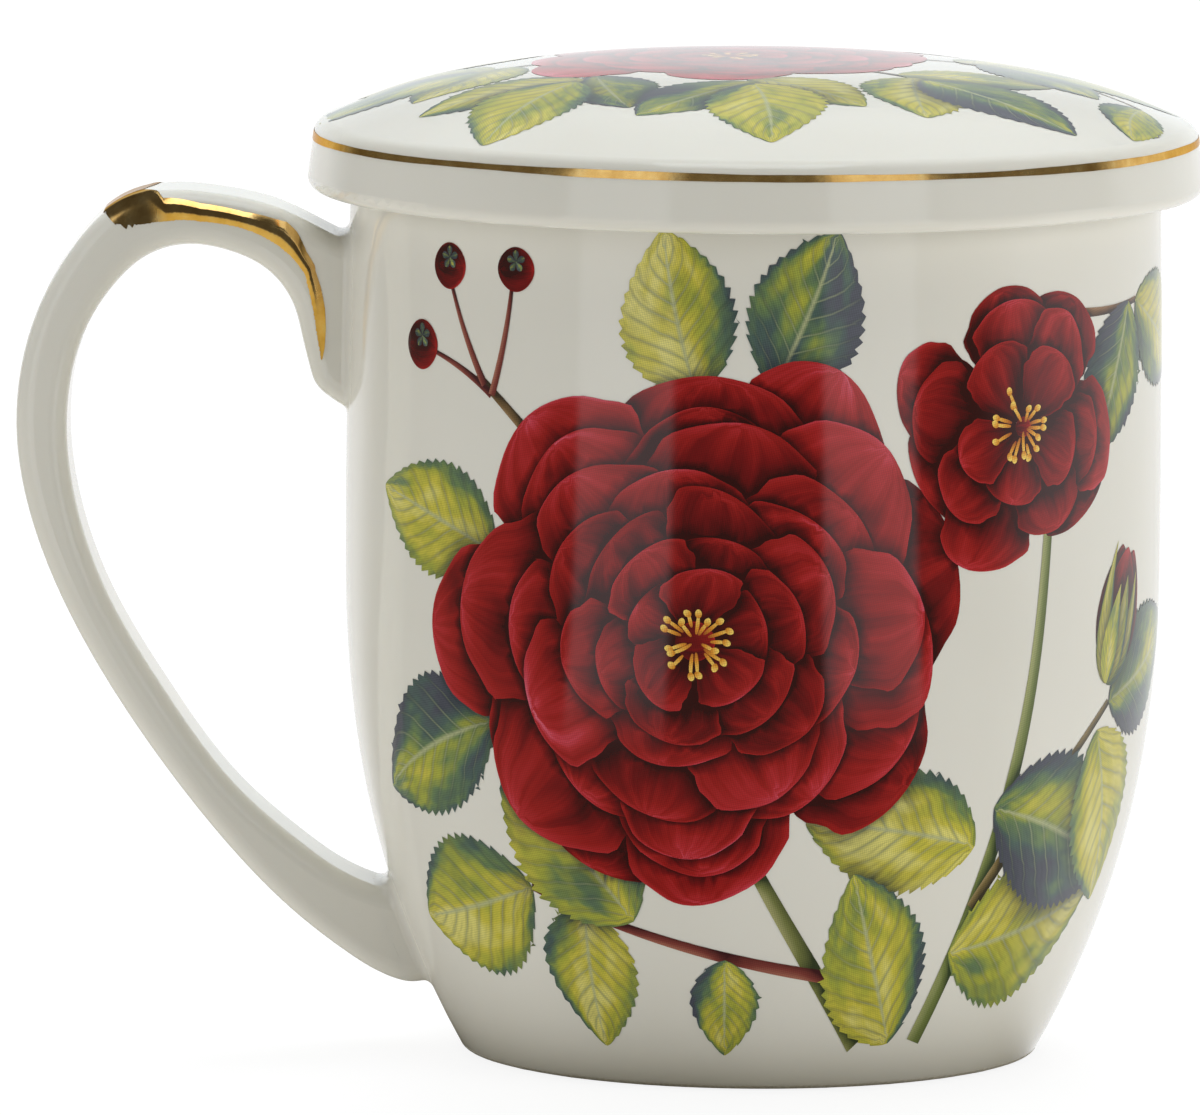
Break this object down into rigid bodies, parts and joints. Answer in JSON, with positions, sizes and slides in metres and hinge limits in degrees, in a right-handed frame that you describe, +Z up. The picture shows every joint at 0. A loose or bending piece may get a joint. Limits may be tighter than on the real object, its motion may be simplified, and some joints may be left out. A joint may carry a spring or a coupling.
{
  "type": "lidded tea mug with infuser",
  "caption": "China tea mug with an ear handle, a loose low-domed lid and a steel infuser basket that hangs on the rim.",
  "frame": {"origin": "centre of the foot, on the plane the mug stands on", "axes": "+Z up along the mug's axis; the handle points to -X"},
  "size_m": [0.1286, 0.0972, 0.108],
  "materials": {
    "china": "gloss glaze",
    "steel": "satin",
    "gilding": "fired gold lustre",
    "print": "fired print under gloss glaze"
  },
  "bodies": {
    "mug": {"mug_body": "china", "mug_handle": "china"},
    "infuser": {"infuser_collar": "steel", "infuser_sleeve": "steel", "infuser_base_band": "steel", "infuser_floor": "steel"},
    "lid": {"lid": "china"}
  },
  "joints": [
    {"name": "infuser_lift", "type": "slide", "parent": "mug", "child": "infuser", "axis": [0, 0, 1], "range_m": [0, 0.09]},
    {"name": "lid_lift", "type": "slide", "parent": "infuser", "child": "lid", "axis": [0, 0, 1], "range_m": [0, 0.05]}
  ]
}
